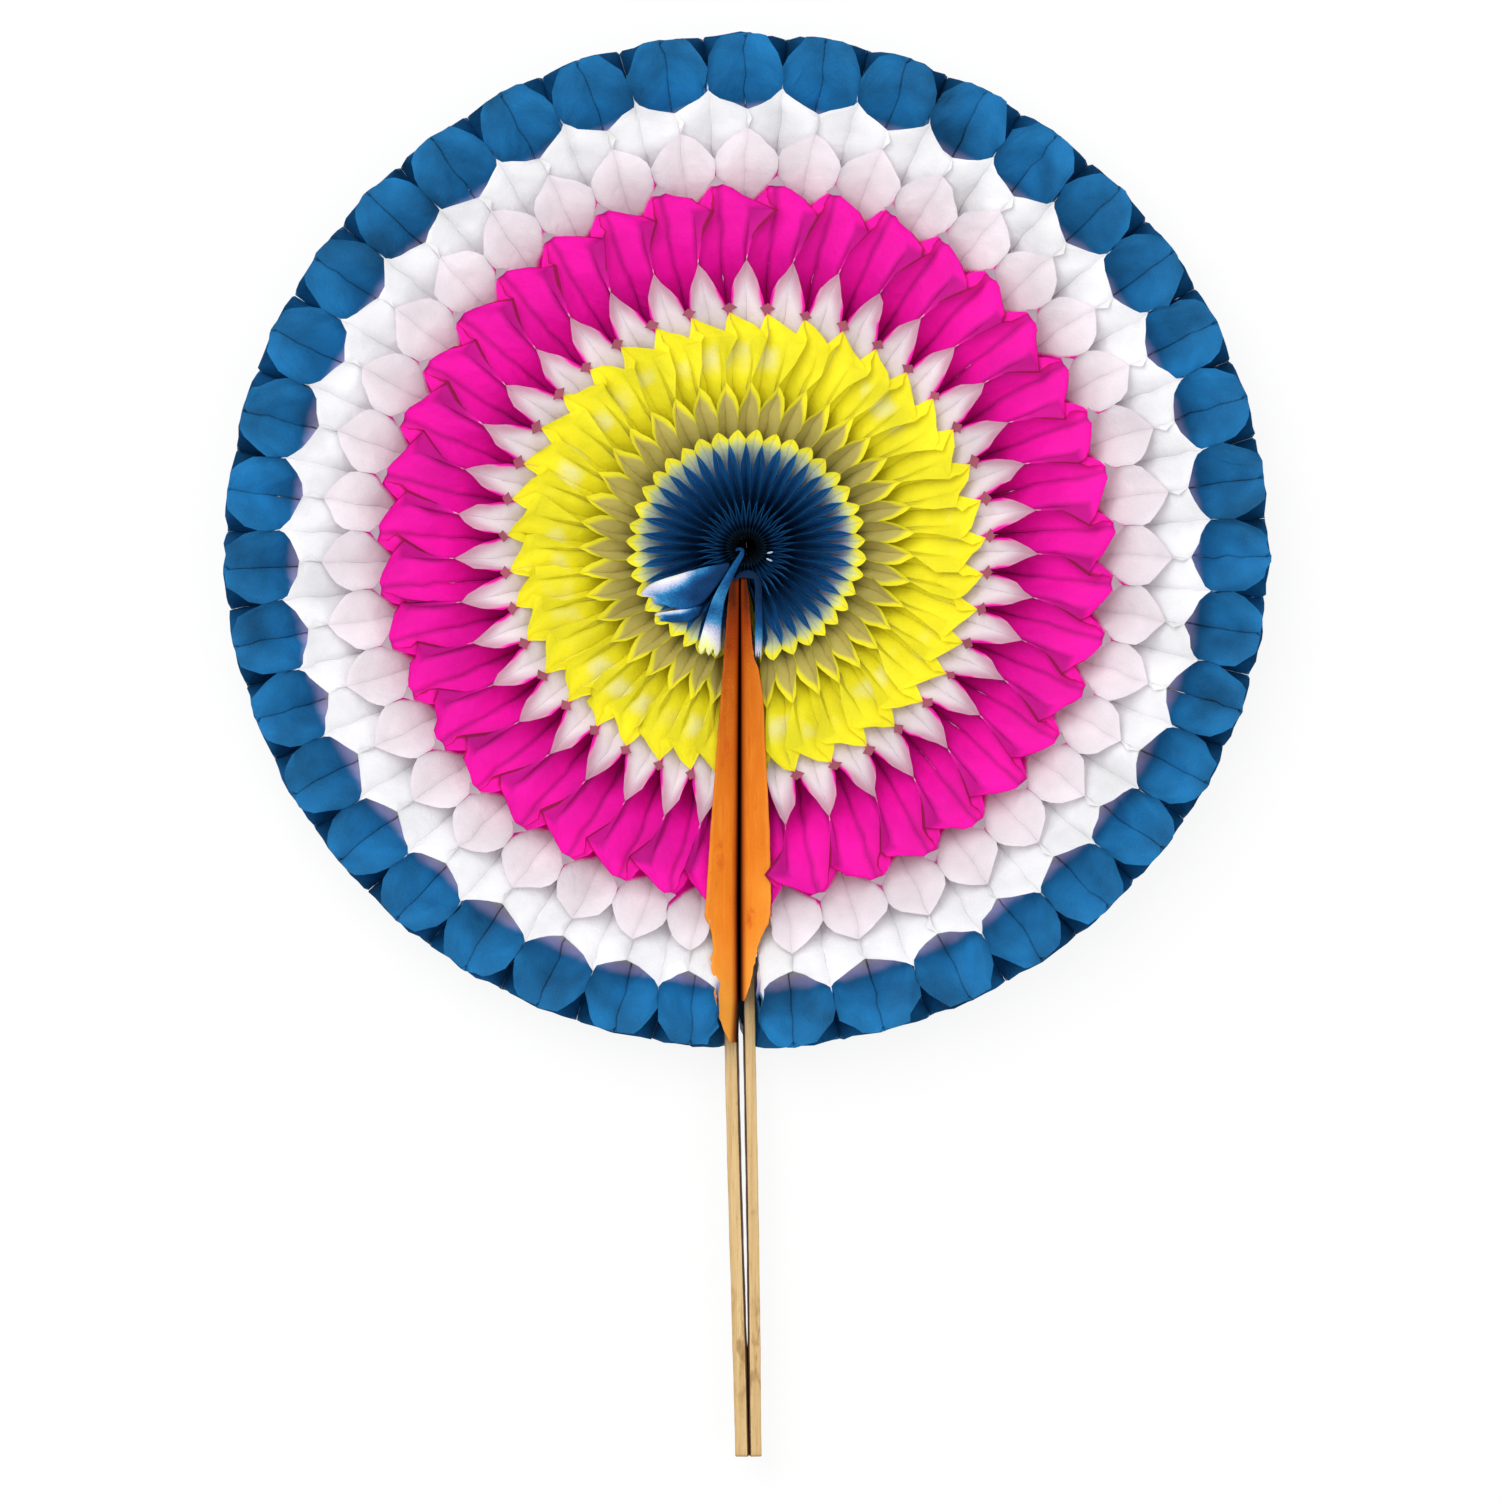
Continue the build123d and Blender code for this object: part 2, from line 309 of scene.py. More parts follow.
# honeycomb: sheets glued in strips that slant towards the hub as they go down.
# strips are (outer end, inner end) at the front, as shares of the fan's radius;
# even ones lie on the blue petals' middles, odd ones half a pitch on.
honeycomb = {
    "petals": 39,
    "strips": (
        (1.290, 1.245), (1.200, 1.154), (1.071, 1.029), (0.931, 0.890), (0.849, 0.811),
        (0.755, 0.710), (0.653, 0.556), (0.482, 0.456), (0.405, 0.322), (0.270, 0.229),
        (0.211, 0.205), (0.125, 0.095), (0.055, 0.040), (0.030, 0.020),
    ),
    "hubRadius": 0.0032,
    "hubDepth": 32.0,           # pixels under the front where the pages have closed the hole
    "hubLeast": 0.0002,         # share of the radius
    "inward": 1.25,             # how far the paper runs inward for each step down
    # and how far it lies over first: share of the radius, reach
    "layOver": (
        (0.0, 0.0), (0.15, 0.02), (0.26, 0.03), (0.33, 0.04), (0.42, 0.11), (0.56, 0.11), (0.66, 0.10),
        (0.72, 0.085), (0.80, 0.045), (0.93, 0.045), (1.06, 0.045), (1.15, 0.01), (1.4, 0.0),
    ),
    "layDepth": 15.0,
    # glued strips that gape at the front: share of the radius, pixels
    "gape": ((0.0, 0), (0.459, 0), (0.468, 4), (0.482, 7), (0.505, 4), (0.530, 0), (1.4, 0)),
    "gapeDepth": 3.5,
    "glueGap": 0.00005,
    "glueSwell": 0.00014,       # glued sheets lie less tight behind the front edge
    "panelSteps": 4,
    "stripSteps": 2,
    "depthRows": (0, 2, 5, 9, 14, 20, 28, 38, 50, 64, 80, 94, 107.4),   # pixels under the front
    "flapRows": 3,
    "flapLean": 62.0,           # degrees that the free corners are pushed over, clockwise
    # free corners: share of the radius, height in pixels
    "flaps": (
        (0.0, 0), (0.322, 0), (0.395, 17), (0.412, 18), (0.458, 0), (0.590, 0), (0.640, 19),
        (0.655, 20), (0.708, 0), (0.811, 0), (0.822, 5), (0.842, 6), (0.850, 0), (1.4, 0),
    ),
    "flapSway": (0.35, 0.16),   # wide and narrow waves of the corners, of their height
    # how far the front edges are pushed clockwise: share of the radius, pixels
    "lean": (
        (0.0, 0), (0.19, 0), (0.228, 1), (0.270, 5), (0.322, 7), (0.42, 8), (0.475, 1.5), (0.52, 0),
        (0.57, 1), (0.60, 2), (0.653, 5), (0.70, 2), (0.75, 1.5), (0.83, 3), (0.85, 2), (0.90, 0), (1.4, 0),
    ),
    "leanDepth": 30.0,
    # roundness of the panels: share of the radius, power; over 1 fills out the even columns
    "bulge": (
        (0.0, 1.0), (0.12, 1.0), (0.126, 2.1), (0.206, 2.1), (0.210, 0.7), (0.24, 0.7), (0.26, 1.3),
        (0.33, 1.3), (0.37, 1.0), (0.62, 1.0), (0.65, 0.72), (0.72, 0.72), (0.74, 1.6), (1.4, 1.6),
    ),
    "rimRound": 4.0,
    "rimRoundDepth": 5.0,
    "stretch": (1.013, 0.998, 0.970),   # across, upwards, downwards
    "stretchReach": 300.0,      # pixels over which one goes over into the other
    # petals that drifted round when the paper was opened: azimuth and shift in degrees
    "drift": (
        (-180, 0.9), (-160, 0.6), (-110, 0.5), (-92, 0.0), (-84, -0.4), (0, -0.2), (60, -0.6),
        (100, -1.5), (136, -2.3), (160, -2.3), (180, 0.9),
    ),
    # half the opening of the seam at the front: pixels from the hub, pixels
    "seamMouth": (
        (0, 0), (32, 0), (46, 5.5), (75, 9), (150, 15), (220, 20), (350, 30), (400, 28), (450, 22), (520, 15),
    ),
    "seamSlope": 0.6,           # how fast the opening narrows with depth
    "seamFloor": 15.0,
    "seamReach": 62.0,
    "seamKeep": 5.0,            # leaning corners stop short of the seam
    "seamGive": 0.2,            # what is left of the way they pass that by
    "coverPress": 16.0,         # pixels, and how far left and right of the seam
    "coverReach": (14.0, 6.0),
    "coverSoft": 4.0,
    "rimCrumple": 1.7,          # the rim has been handled most, pixels
    "crease": 1.3,              # unevenness of the paper, pixels
    "calmRim": (500.0, 0.6),    # pixels from the hub, share of the unevenness left
    # where something sets in, or dies out for a negative width: start and width in pixels
    "roughFrom": (0.0, 120.0),
    "roughBelow": (0.0, 6.0),
    "rimFrom": (430.0, 25.0),
    "swellFrom": (0.05, 0.02),  # metres
    "swellBelow": (28.0, 25.0),
    "keepFrom": (31.0, 25.0),
    "keepAbove": (70.0, -60.0),
    "floorFrom": (30.0, 60.0),
    "floorAbove": (95.0, -30.0),
    "pressFrom": (24.0, 6.0),
    "pressTo": (170.0, -50.0),
    "pressAbove": (60.0, -60.0),
    # unevenness: length in pixels, seed
    "waves": {
        "rise": (34.0, 3), "reach": (30.0, 5), "sway": (26.0, 7), "rimRise": (19.0, 22),
        "rimReach": (21.0, 23), "rimSway": (17.0, 21), "flapWide": (40.0, 11), "flapNarrow": (11.0, 12),
    },
}
pitch = 2 * math.pi / honeycomb["petals"]


def tableAt(table, value):
    places, values = zip(*honeycomb[table])
    return np.interp(value, places, values)


def easeAt(name, value, least=0.0):
    start, width = honeycomb[name]
    return np.clip((value - start) / width, least, 1.0)


def foldSide(share):
    # +1 on the even strips, -1 on the odd ones, panels between them
    knots, sides = [], []
    for number, (outer, inner) in enumerate(honeycomb["strips"]):
        for end in (outer, inner):
            knots.append(end)
            sides.append(1.0 if number % 2 == 0 else -1.0)
    order = np.argsort(knots)
    side = np.interp(share, np.array(knots)[order], np.array(sides)[order])
    return 2.0 * ((side + 1.0) / 2.0) ** tableAt("bulge", share) - 1.0


def sheetRuns():
    # runs of columns between fold lines: glued strips and free panels in turn
    runs = []
    strips = honeycomb["strips"]
    for number, (outer, inner) in enumerate(strips):
        runs.append((True, np.linspace(outer, inner, honeycomb["stripSteps"] + 1)))
        if number + 1 < len(strips):
            runs.append((False, np.linspace(inner, strips[number + 1][0], honeycomb["panelSteps"] + 1)))
    return runs


def runInward(fold, down):
    laid = tableAt("layOver", fold) * (1.0 - np.exp(down / honeycomb["layDepth"]))
    return fold - laid + down * honeycomb["inward"] / photo["radius"]


def sheetMesh(sheet):
    points, faces = [], []
    marks = {"fold": [], "depth": [], "edge": [], "ring": [], "behind": [], "column": []}
    allFolds = np.linspace(0.0, 1.4, 1401)
    paperDepth = honeycomb["depthRows"][-1]
    lean = math.radians(honeycomb["flapLean"])
    flapRows = honeycomb["flapRows"]
    for glued, run in sheetRuns():
        first, width = len(points), len(run)
        rows = []
        flap = tableAt("flaps", run)
        hasFlap = flap.max() > 0
        if hasFlap:
            for step in range(flapRows, 0, -1):
                rows.append((flap * step / flapRows, 1.0 if step == flapRows else 0.0))
        for depth in honeycomb["depthRows"]:
            rows.append((np.full(width, -float(depth)), 1.0 if depth == 0 and not hasFlap else 0.0))
        for height, isEdge in rows:
            down = np.minimum(height, 0.0)
            up = np.maximum(height, 0.0)
            closed = np.minimum(1.0, -down / honeycomb["hubDepth"])
            hub = np.maximum(honeycomb["hubRadius"] * (1 - closed) / fanRadius, honeycomb["hubLeast"])
            rounded = np.exp(down / honeycomb["rimRoundDepth"])
            rim = 1.0 - honeycomb["rimRound"] / photo["radius"] * rounded
            share = np.minimum(np.maximum(runInward(run, down), hub), rim)
            fold = np.interp(share, runInward(allFolds, down[0]), allFolds)
            behind = np.maximum(runInward(fold, -paperDepth), 0.0)
            side = foldSide(fold)
            r = share * fanRadius
            gap = np.full(width, honeycomb["glueGap"])
            if glued:
                gap[1:-1] = honeycomb["glueGap"] * 0.5
            gap = gap + honeycomb["glueSwell"] * easeAt("swellBelow", -down) * easeAt("swellFrom", r)
            gap = gap + tableAt("gape", fold) * pixel * np.exp(down / honeycomb["gapeDepth"])
            slack = 1.0 - np.minimum(0.5, gap / (pitch / 2 * r))
            offset = side if sheet % 2 else -side
            fadeDown = np.maximum(0.0, 1.0 + down / honeycomb["leanDepth"]) ** 2
            push = (tableAt("lean", share) * fadeDown + up * math.sin(lean)) * pixel
            angle = (sheet + 0.5 + 0.5 * offset * slack) * pitch / 2 + push / r
            z = frontZ + (down + up * math.cos(lean)) * pixel
            points += [(r[n] * math.sin(angle[n]), r[n] * math.cos(angle[n]), z[n]) for n in range(width)]
            values = (fold, -height / paperDepth, np.full(width, isEdge), share, behind, side)
            for mark, value in zip(marks.values(), values):
                mark.extend(value)
        for row in range(len(rows) - 1):
            for n in range(width - 1):
                a = first + row * width + n
                quad = (a, a + 1, a + width + 1, a + width)
                corners = [Vector(points[c]) for c in quad]
                normal = (corners[2] - corners[0]).cross(corners[3] - corners[1])
                if normal.length >= 1e-10:      # not shut to a line at the hub or rim
                    faces.append(quad if normal.z >= 0 else quad[::-1])
    return meshFrom(f"sheet{sheet}", points, faces, marks)


def openRoundTree(material):
    # one sheet stood round the hub as many times as there are petals
    tree = bpy.data.node_groups.new("openRound", "GeometryNodeTree")
    tree.interface.new_socket("Sheet", in_out="INPUT", socket_type="NodeSocketGeometry")
    petals = tree.interface.new_socket("Petals", in_out="INPUT", socket_type="NodeSocketInt")
    tree.interface.new_socket("Opened", in_out="OUTPUT", socket_type="NodeSocketGeometry")
    nodes, links = tree.nodes, tree.links
    start = nodes.new("NodeGroupInput")
    end = nodes.new("NodeGroupOutput")
    places = nodes.new("GeometryNodePoints")
    links.new(start.outputs["Petals"], places.inputs["Count"])
    number = nodes.new("GeometryNodeInputIndex")
    step = calc(tree, "DIVIDE", -2 * math.pi, start.outputs["Petals"])
    turn = calc(tree, "MULTIPLY", number.outputs[0], step)
    around = nodes.new("ShaderNodeCombineXYZ")
    links.new(turn, around.inputs["Z"])
    stand = nodes.new("GeometryNodeInstanceOnPoints")
    links.new(places.outputs[0], stand.inputs["Points"])
    links.new(start.outputs["Sheet"], stand.inputs["Instance"])
    links.new(around.outputs[0], stand.inputs["Rotation"])
    keep = nodes.new("GeometryNodeStoreNamedAttribute")
    keep.data_type = "FLOAT"
    keep.domain = "INSTANCE"
    keep.inputs["Name"].default_value = "petal"
    links.new(stand.outputs[0], keep.inputs["Geometry"])
    links.new(number.outputs[0], keep.inputs["Value"])
    real = nodes.new("GeometryNodeRealizeInstances")
    links.new(keep.outputs[0], real.inputs[0])
    dress = nodes.new("GeometryNodeSetMaterial")
    dress.inputs["Material"].default_value = material
    links.new(real.outputs[0], dress.inputs["Geometry"])
    links.new(dress.outputs[0], end.inputs[0])
    return tree, petals.identifier


def openRound(name, mesh, tree, petalsKey):
    holder = makeObject(name + "Holder", mesh)
    modifier = holder.modifiers.new("openRound", "NODES")
    modifier.node_group = tree
    modifier[petalsKey] = honeycomb["petals"]
    graph = bpy.context.evaluated_depsgraph_get()
    opened = bpy.data.meshes.new_from_object(holder.evaluated_get(graph))
    opened.name = name
    holder.modifiers.remove(modifier)
    bpy.data.objects.remove(holder)
    return opened


def waves(places, name):
    # smooth unevenness, mostly between -1 and 1
    length, seed = honeycomb["waves"][name]
    rng = np.random.default_rng(seed)
    total = np.zeros(len(places))
    for _ in range(6):
        way = rng.normal(size=3)
        way = way / np.linalg.norm(way) * 2 * math.pi / (length * rng.uniform(0.6, 1.6))
        total += np.sin(places @ way + rng.uniform(0, 2 * math.pi))
    return total / 3.0


def pointValues(mesh, name):
    values = np.empty(len(mesh.vertices), dtype=np.float32)
    mesh.attributes[name].data.foreach_get("value", values)
    return values


def settleSheets(mesh, sheet):
    # the opened paper drifts, parts at the seam, dents and is pulled out of round
    places = np.empty(len(mesh.vertices) * 3, dtype=np.float32)
    mesh.vertices.foreach_get("co", places)
    places = places.reshape(-1, 3).astype(np.float64) / pixel
    depth = pointValues(mesh, "depth") * honeycomb["depthRows"][-1]
    under = np.maximum(depth, 0.0)
    r = np.maximum(np.hypot(places[:, 0], places[:, 1]), 0.05)
    azimuth = np.degrees(np.arctan2(places[:, 0], places[:, 1]))
    calmFrom, calm = honeycomb["calmRim"]
    rough = honeycomb["crease"] * easeAt("roughFrom", r)
    rise = rough * waves(places, "rise") * easeAt("roughBelow", depth, 0.25)
    r = r + rough * waves(places, "reach") * np.where(r > calmFrom, calm, 1.0)
    crumpled = honeycomb["rimCrumple"] * easeAt("rimFrom", r)
    sway = rough * waves(places, "sway") + crumpled * waves(places, "rimSway")
    rise += crumpled * waves(places, "rimRise")
    r = r + crumpled * calm * waves(places, "rimReach")
    wide, narrow = honeycomb["flapSway"]
    flap = np.maximum(-depth, 0.0)
    flapSway = flap * wide * waves(places, "flapWide") + flap * narrow * waves(places, "flapNarrow")
    drift = tableAt("drift", azimuth) + np.degrees((sway + flapSway) / r)
    # the seam is half way round, between the first sheet and the last
    leftOfSeam = np.rint(pointValues(mesh, "petal")) * 2 + sheet > honeycomb["petals"] - 1
    fromTop = np.where(leftOfSeam, (azimuth + 200.0) % 360.0 + 160.0, (azimuth + 450.0) % 360.0 - 90.0)
    arc = np.radians(np.where(leftOfSeam, fromTop - 180.0, 180.0 - fromTop)) * r
    nearest = honeycomb["seamKeep"] * easeAt("keepAbove", depth, 0.04) * easeAt("keepFrom", r)
    held = np.where(arc < nearest, nearest + honeycomb["seamGive"] * (arc - nearest), arc)
    mouth = tableAt("seamMouth", r)
    floor = honeycomb["seamFloor"] * easeAt("floorFrom", r) * easeAt("floorAbove", under)
    half = np.maximum(np.minimum(floor, mouth), mouth - honeycomb["seamSlope"] * under)
    part = np.degrees((held - arc + half * np.exp(-held / honeycomb["seamReach"])) / r)
    turned = np.radians(azimuth + drift + np.where(leftOfSeam, part, -part))
    across, upwards, downwards = honeycomb["stretch"]
    upper = np.clip(0.5 + r * np.cos(turned) / honeycomb["stretchReach"], 0.0, 1.0)
    places[:, 0] = r * np.sin(turned) * across
    places[:, 1] = r * np.cos(turned) * (downwards * (1.0 - upper) + upwards * upper)
    # the covers press down the pages that they lie on near the hub
    covered = np.where(leftOfSeam, *honeycomb["coverReach"]) + honeycomb["coverSoft"]
    press = np.clip((covered - np.abs(held)) / honeycomb["coverSoft"], 0.0, 1.0)
    press = press * easeAt("pressFrom", r) * easeAt("pressTo", r) * easeAt("pressAbove", depth)
    rise = rise - honeycomb["coverPress"] * press
    places[:, 2] = np.maximum(places[:, 2] + rise, 0.3)
    mesh.vertices.foreach_set("co", (places * pixel).astype(np.float32).ravel())
    mesh.update()


# dyes as they look in plain light, and colours that stand for painted shade, reflected light and highlight
dye = {
    "blue": (0.009, 0.160, 0.395),
    "deepBlue": (0.006, 0.100, 0.290),
    "navy": (0.005, 0.080, 0.220),
    "white": (0.95, 0.945, 0.955),
    # white paper with painted pink light from the magenta beside and behind it, and painted shade
    "whiteWithPaintedPinkCast": (0.86, 0.79, 0.83),
    "magenta": (0.94, 0.002, 0.43),
    "yellow": (0.96, 0.88, 0.02),
    # painted shade: the yellow as it looks deep in the cells
    "shadeKhaki": (0.56, 0.48, 0.135),
    "thinYellow": (0.95, 0.92, 0.50),
    # painted shade and reflected magenta, with some bleed of the dye
    "pinkBleedAndShade": (0.50, 0.16, 0.28),
    "paleYellow": (0.88, 0.88, 0.32),
    "paleGreen": (0.50, 0.58, 0.50),
    "limeYellow": (0.72, 0.76, 0.32),
    # painted shade: the hole at the hub
    "hubShadeBlue": (0.001, 0.006, 0.016),
    "lavender": (0.34, 0.36, 0.56),
    # painted highlight along the blue pages' front edges
    "edgeHighlightBlue": (0.020, 0.26, 0.56),
    "paleBlue": (0.42, 0.48, 0.62),
    "greyBlue": (0.10, 0.16, 0.32),
    "purple": (0.58, 0.54, 0.92),
    "redEdge": (0.42, 0.0, 0.06),
    "through": 0.18,            # share of the light that comes through the tissue
    # rings from the hub out: end at the front, end below, dye; the khaki ring is painted shade
    "rings": (
        (0.207, 0.208, "deepBlue"), (0.240, 0.267, "white"), (0.345, 0.402, "shadeKhaki"),
        # the pink whites are white paper with painted magenta light and painted shade
        (0.458, 0.460, "yellow"), (0.562, 0.564, "whiteWithPaintedPinkCast"), (0.722, 0.752, "magenta"),
        (0.820, 0.846, "whiteWithPaintedPinkCast"), (0.900, 0.928, "white"), (1.2, 1.2, "blue"),
    ),
    # tips of the petals round the hub: share of the radius, dye
    "hubTips": (
        (0.120, "greyBlue"), (0.160, "paleBlue"), (0.187, "paleGreen"), (0.205, "limeYellow"),
        (0.219, "paleYellow"), (0.230, "yellow"),
    ),
    # how far the blue tips have run out, from the top round clockwise: share of the turn, strength
    "runOut": ((0.0, 0.0), (0.08, 0.1), (0.30, 0.45), (0.46, 1.0), (0.66, 0.8), (0.92, 0.1)),
}


def ringDyes(tree, zone, depth):
    # a glued strip shows the outer ring's dye at the front and the inner ring's below
    layers = []
    for end in (0, 1):
        stops = []
        for ring, after in zip(dye["rings"], dye["rings"][1:]):
            stops += [(ring[end] - 0.002, dye[ring[2]]), (ring[end] + 0.003, dye[after[2]])]
        layers.append(rampOf(tree, zone, stops))
    return blendColours(tree, fade(tree, depth, 0.05, 0.14), layers[0], layers[1])


def hubTips(tree, soft, petal):
    tips = rampOf(tree, soft, [(place, dye[name]) for place, name in dye["hubTips"]])
    faded = band(tree, petal, 5.0, 8.0, 11.5, 14.5)
    return tint(tree, tips, dye["lavender"], faded, fade(tree, soft, 0.205, 0.180), 0.9)


def tissueMaterial(fibreGroup):
    material, tree, paper = newMaterial("dyedTissue")
    names = ("fold", "edge", "column", "petal", "ring", "behind")
    fold, edge, column, petal, ownRadius, behind = (attributeOf(tree, name) for name in names)
    depth = calc(tree, "MAXIMUM", attributeOf(tree, "depth"), 0.0)
    height, shift = paperFibre(tree, fibreGroup, 160.0, 2600.0)
    # low down, the turned side of a sheet has the dye of the ring behind it
    back = tree.nodes.new("ShaderNodeNewGeometry").outputs["Backfacing"]
    turnOver = product(tree, back, fade(tree, depth, 0.40, 0.55))
    front = calc(tree, "SUBTRACT", 1.0, turnOver)
    fromBehind = product(tree, behind, turnOver)
    zone = calc(tree, "ADD", product(tree, fold, front), fromBehind)
    place = calc(tree, "ADD", product(tree, ownRadius, front), fromBehind)
    soft = calc(tree, "MULTIPLY_ADD", shift, 0.03, place)
    laid = calc(tree, "SUBTRACT", fold, ownRadius)
    colour = ringDyes(tree, zone, depth)
    # petals round the hub: yellow tips, a pale band, then grey-blue
    colour = tint(tree, colour, hubTips(tree, soft, petal), band(tree, zone, 0.206, 0.209, 0.248, 0.252))
    # painted highlight gives the blue pages pale front edges, and painted shade runs them black in the hub
    edgeHighlight = fade(tree, depth, 0.016, 0.004)
    colour = tint(tree, colour, dye["edgeHighlightBlue"], edgeHighlight, fade(tree, zone, 0.208, 0.205), 0.7)
    colour = tint(tree, colour, dye["hubShadeBlue"], fade(tree, ownRadius, 0.058, 0.026))
    # painted shade makes the cells above them khaki inside; their front edges keep the plain yellow
    rimmed = fade(tree, depth, 0.050, 0.015)
    colour = tint(tree, colour, dye["yellow"], rimmed, band(tree, zone, 0.210, 0.214, 0.38, 0.40), 0.95)
    # blue runs out into purple at the petals' tips
    around = calc(tree, "DIVIDE", petal, honeycomb["petals"])
    runOut = rampOf(tree, around, [(place, (strength,) * 3) for place, strength in dye["runOut"]])
    tip = calc(tree, "MULTIPLY_ADD", calc(tree, "SUBTRACT", 1.0, runOut), 0.016, soft)
    inBlue = fade(tree, zone, 0.894, 0.900)
    colour = tint(tree, colour, dye["purple"], fade(tree, tip, 0.890, 0.866), inBlue)
    colour = tint(tree, colour, dye["white"], fade(tree, tip, 0.872, 0.852), inBlue)
    # painted shade: the walls of the valleys between the blue petals are darker navy
    colour = tint(tree, colour, dye["navy"], fade(tree, zone, 1.035, 1.075), front, 0.60)
    # magenta shows over the pale panels beside it
    hatLine = calc(tree, "SUBTRACT", calc(tree, "MULTIPLY_ADD", zone, -1.0, 1.482), soft)
    hat = product(tree, fade(tree, hatLine, -0.006, 0.008), band(tree, zone, 0.716, 0.722, 0.815, 0.826))
    feetLine = calc(tree, "SUBTRACT", soft, calc(tree, "MULTIPLY_ADD", zone, 1.60, -0.325))
    feet = product(tree, fade(tree, feetLine, -0.014, 0.014), band(tree, zone, 0.456, 0.460, 0.500, 0.530),
                   fade(tree, laid, 0.060, 0.035))
    colour = tint(tree, colour, dye["magenta"], calc(tree, "ADD", hat, feet, clamp=True), front)
    # painted shade and reflected magenta, with some bleed of the dye, make the white petals under the magenta
    # pink near their front edges
    underHat = band(tree, zone, 0.478, 0.500, 0.556, 0.562)
    colour = tint(tree, colour, dye["pinkBleedAndShade"], fade(tree, laid, 0.060, 0.004), underHat,
                  calc(tree, "SUBTRACT", 1.0, feet), front, 0.75)
    # thin places in the yellow
    patches = fade(tree, grainOf(tree, objectPlace(tree), 55.0, 1.0, 0.5), 0.44, 0.60)
    colour = tint(tree, colour, dye["thinYellow"], band(tree, soft, 0.335, 0.362, 0.372, 0.402),
                  band(tree, zone, 0.400, 0.425, 0.450, 0.468), patches, 0.66)
    # the top edges of the free corners are darker red
    cornerTops = fade(tree, edge, 0.45, 0.75)
    colour = tint(tree, colour, dye["redEdge"], cornerTops, band(tree, zone, 0.592, 0.600, 0.708, 0.716), 0.90)
    # painted shade darkens the creases down the middles of the petals, broadly on the magenta and as a thin
    # line down the blue; the dye is uneven too
    crease = product(tree, fade(tree, calc(tree, "ABSOLUTE", column), 0.60, 1.0), front)
    strong = band(tree, zone, 0.560, 0.60, 0.70, 0.73)
    sharp = product(tree, fade(tree, column, 0.93, 1.0), fade(tree, zone, 0.94, 0.98))
    blotched = calc(tree, "MULTIPLY_ADD", fade(tree, zone, 0.892, 0.900), 1.30, 0.50)
    uneven = calc(tree, "MULTIPLY_ADD", shift, blotched, 1.0)
    uneven = calc(tree, "MULTIPLY_ADD", crease, calc(tree, "MULTIPLY_ADD", strong, -0.28, -0.06), uneven)
    uneven = calc(tree, "MULTIPLY_ADD", sharp, -0.40, uneven)
    colour = brightened(tree, colour, uneven)
    feed(tree, paper.inputs["Base Color"], colour)
    paper.inputs["Roughness"].default_value = 0.72
    paper.inputs["Specular IOR Level"].default_value = 0.25
    bumpInto(tree, paper, height, 0.40, 0.0016)
    glow = tree.nodes.new("ShaderNodeBsdfTranslucent")
    feed(tree, glow.inputs["Color"], colour)
    mixShaders(tree, dye["through"], paper, glow)
    return material


def buildHoneycomb(fibreGroup):
    material = tissueMaterial(fibreGroup)
    tree, petalsKey = openRoundTree(material)
    for name, sheet in (("tissueEvenSheets", 0), ("tissueOddSheets", 1)):
        mesh = openRound(name, sheetMesh(sheet), tree, petalsKey)
        settleSheets(mesh, sheet)
        piece = makeObject(name, mesh)
        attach(piece, "root")
        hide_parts("tissue_honeycomb")
        print(name, len(mesh.polygons), "faces")


# small facets where glued strips end: share of the radius, half width, reach out, reach in, tone
stripEnds = {
    "facets": ((0.464, 7.4, 5.2, 5.2, 0.0), (0.7035, 9.0, 9.0, 1.5, 1.0)),
    "rise": 3.2,                # pixels over the front edges
    "hollow": 0.8,              # pixels that the middle lies lower
    "atSeam": 19,               # the petal that the seam parts
    "mauve": (0.30, 0.060, 0.095),
    "greyMauve": (0.38, 0.265, 0.325),
}


def stripEndMesh():
    points, faces = [], []
    marks = {"depth": [], "tone": []}
    for share, half, outer, inner, tone in stripEnds["facets"]:
        first = len(points)
        across = tableAt("lean", share)
        corners = (
            (0, 0), (-half, 0), (-half * 0.45, outer * 0.5), (0, outer), (half * 0.45, outer * 0.5),
            (half, 0), (half * 0.45, -inner * 0.55), (0, -inner), (-half * 0.45, -inner * 0.55),
        )
        for n, (side, reach) in enumerate(corners):
            r = share * photo["radius"] + reach
            turn = pitch / 2 + (side + across) / r
            rise = stripEnds["rise"] - (stripEnds["hollow"] if n == 0 else 0.0)
            points.append((r * math.sin(turn) * pixel, r * math.cos(turn) * pixel, frontZ + rise * pixel))
        marks["depth"] += [0.0] * len(corners)
        marks["tone"] += [tone] * len(corners)
        for n in range(1, 9):
            faces.append((first, first + n, first + n % 8 + 1))
    mesh = meshFrom("stripEnd", points, faces, marks)
    for face in mesh.polygons:
        if face.normal.z < 0:
            face.flip()
    return mesh


def stripEndMaterial(fibreGroup):
    material, tree, paper = newMaterial("stripEndTissue")
    height, shift = paperFibre(tree, fibreGroup, 300.0, 2600.0)
    colour = blendColours(tree, attributeOf(tree, "tone"), stripEnds["mauve"], stripEnds["greyMauve"])
    colour = brightened(tree, colour, calc(tree, "MULTIPLY_ADD", shift, 0.8, 1.0))
    feed(tree, paper.inputs["Base Color"], colour)
    paper.inputs["Roughness"].default_value = 0.75
    bumpInto(tree, paper, height, 0.3, 0.0006)
    return material


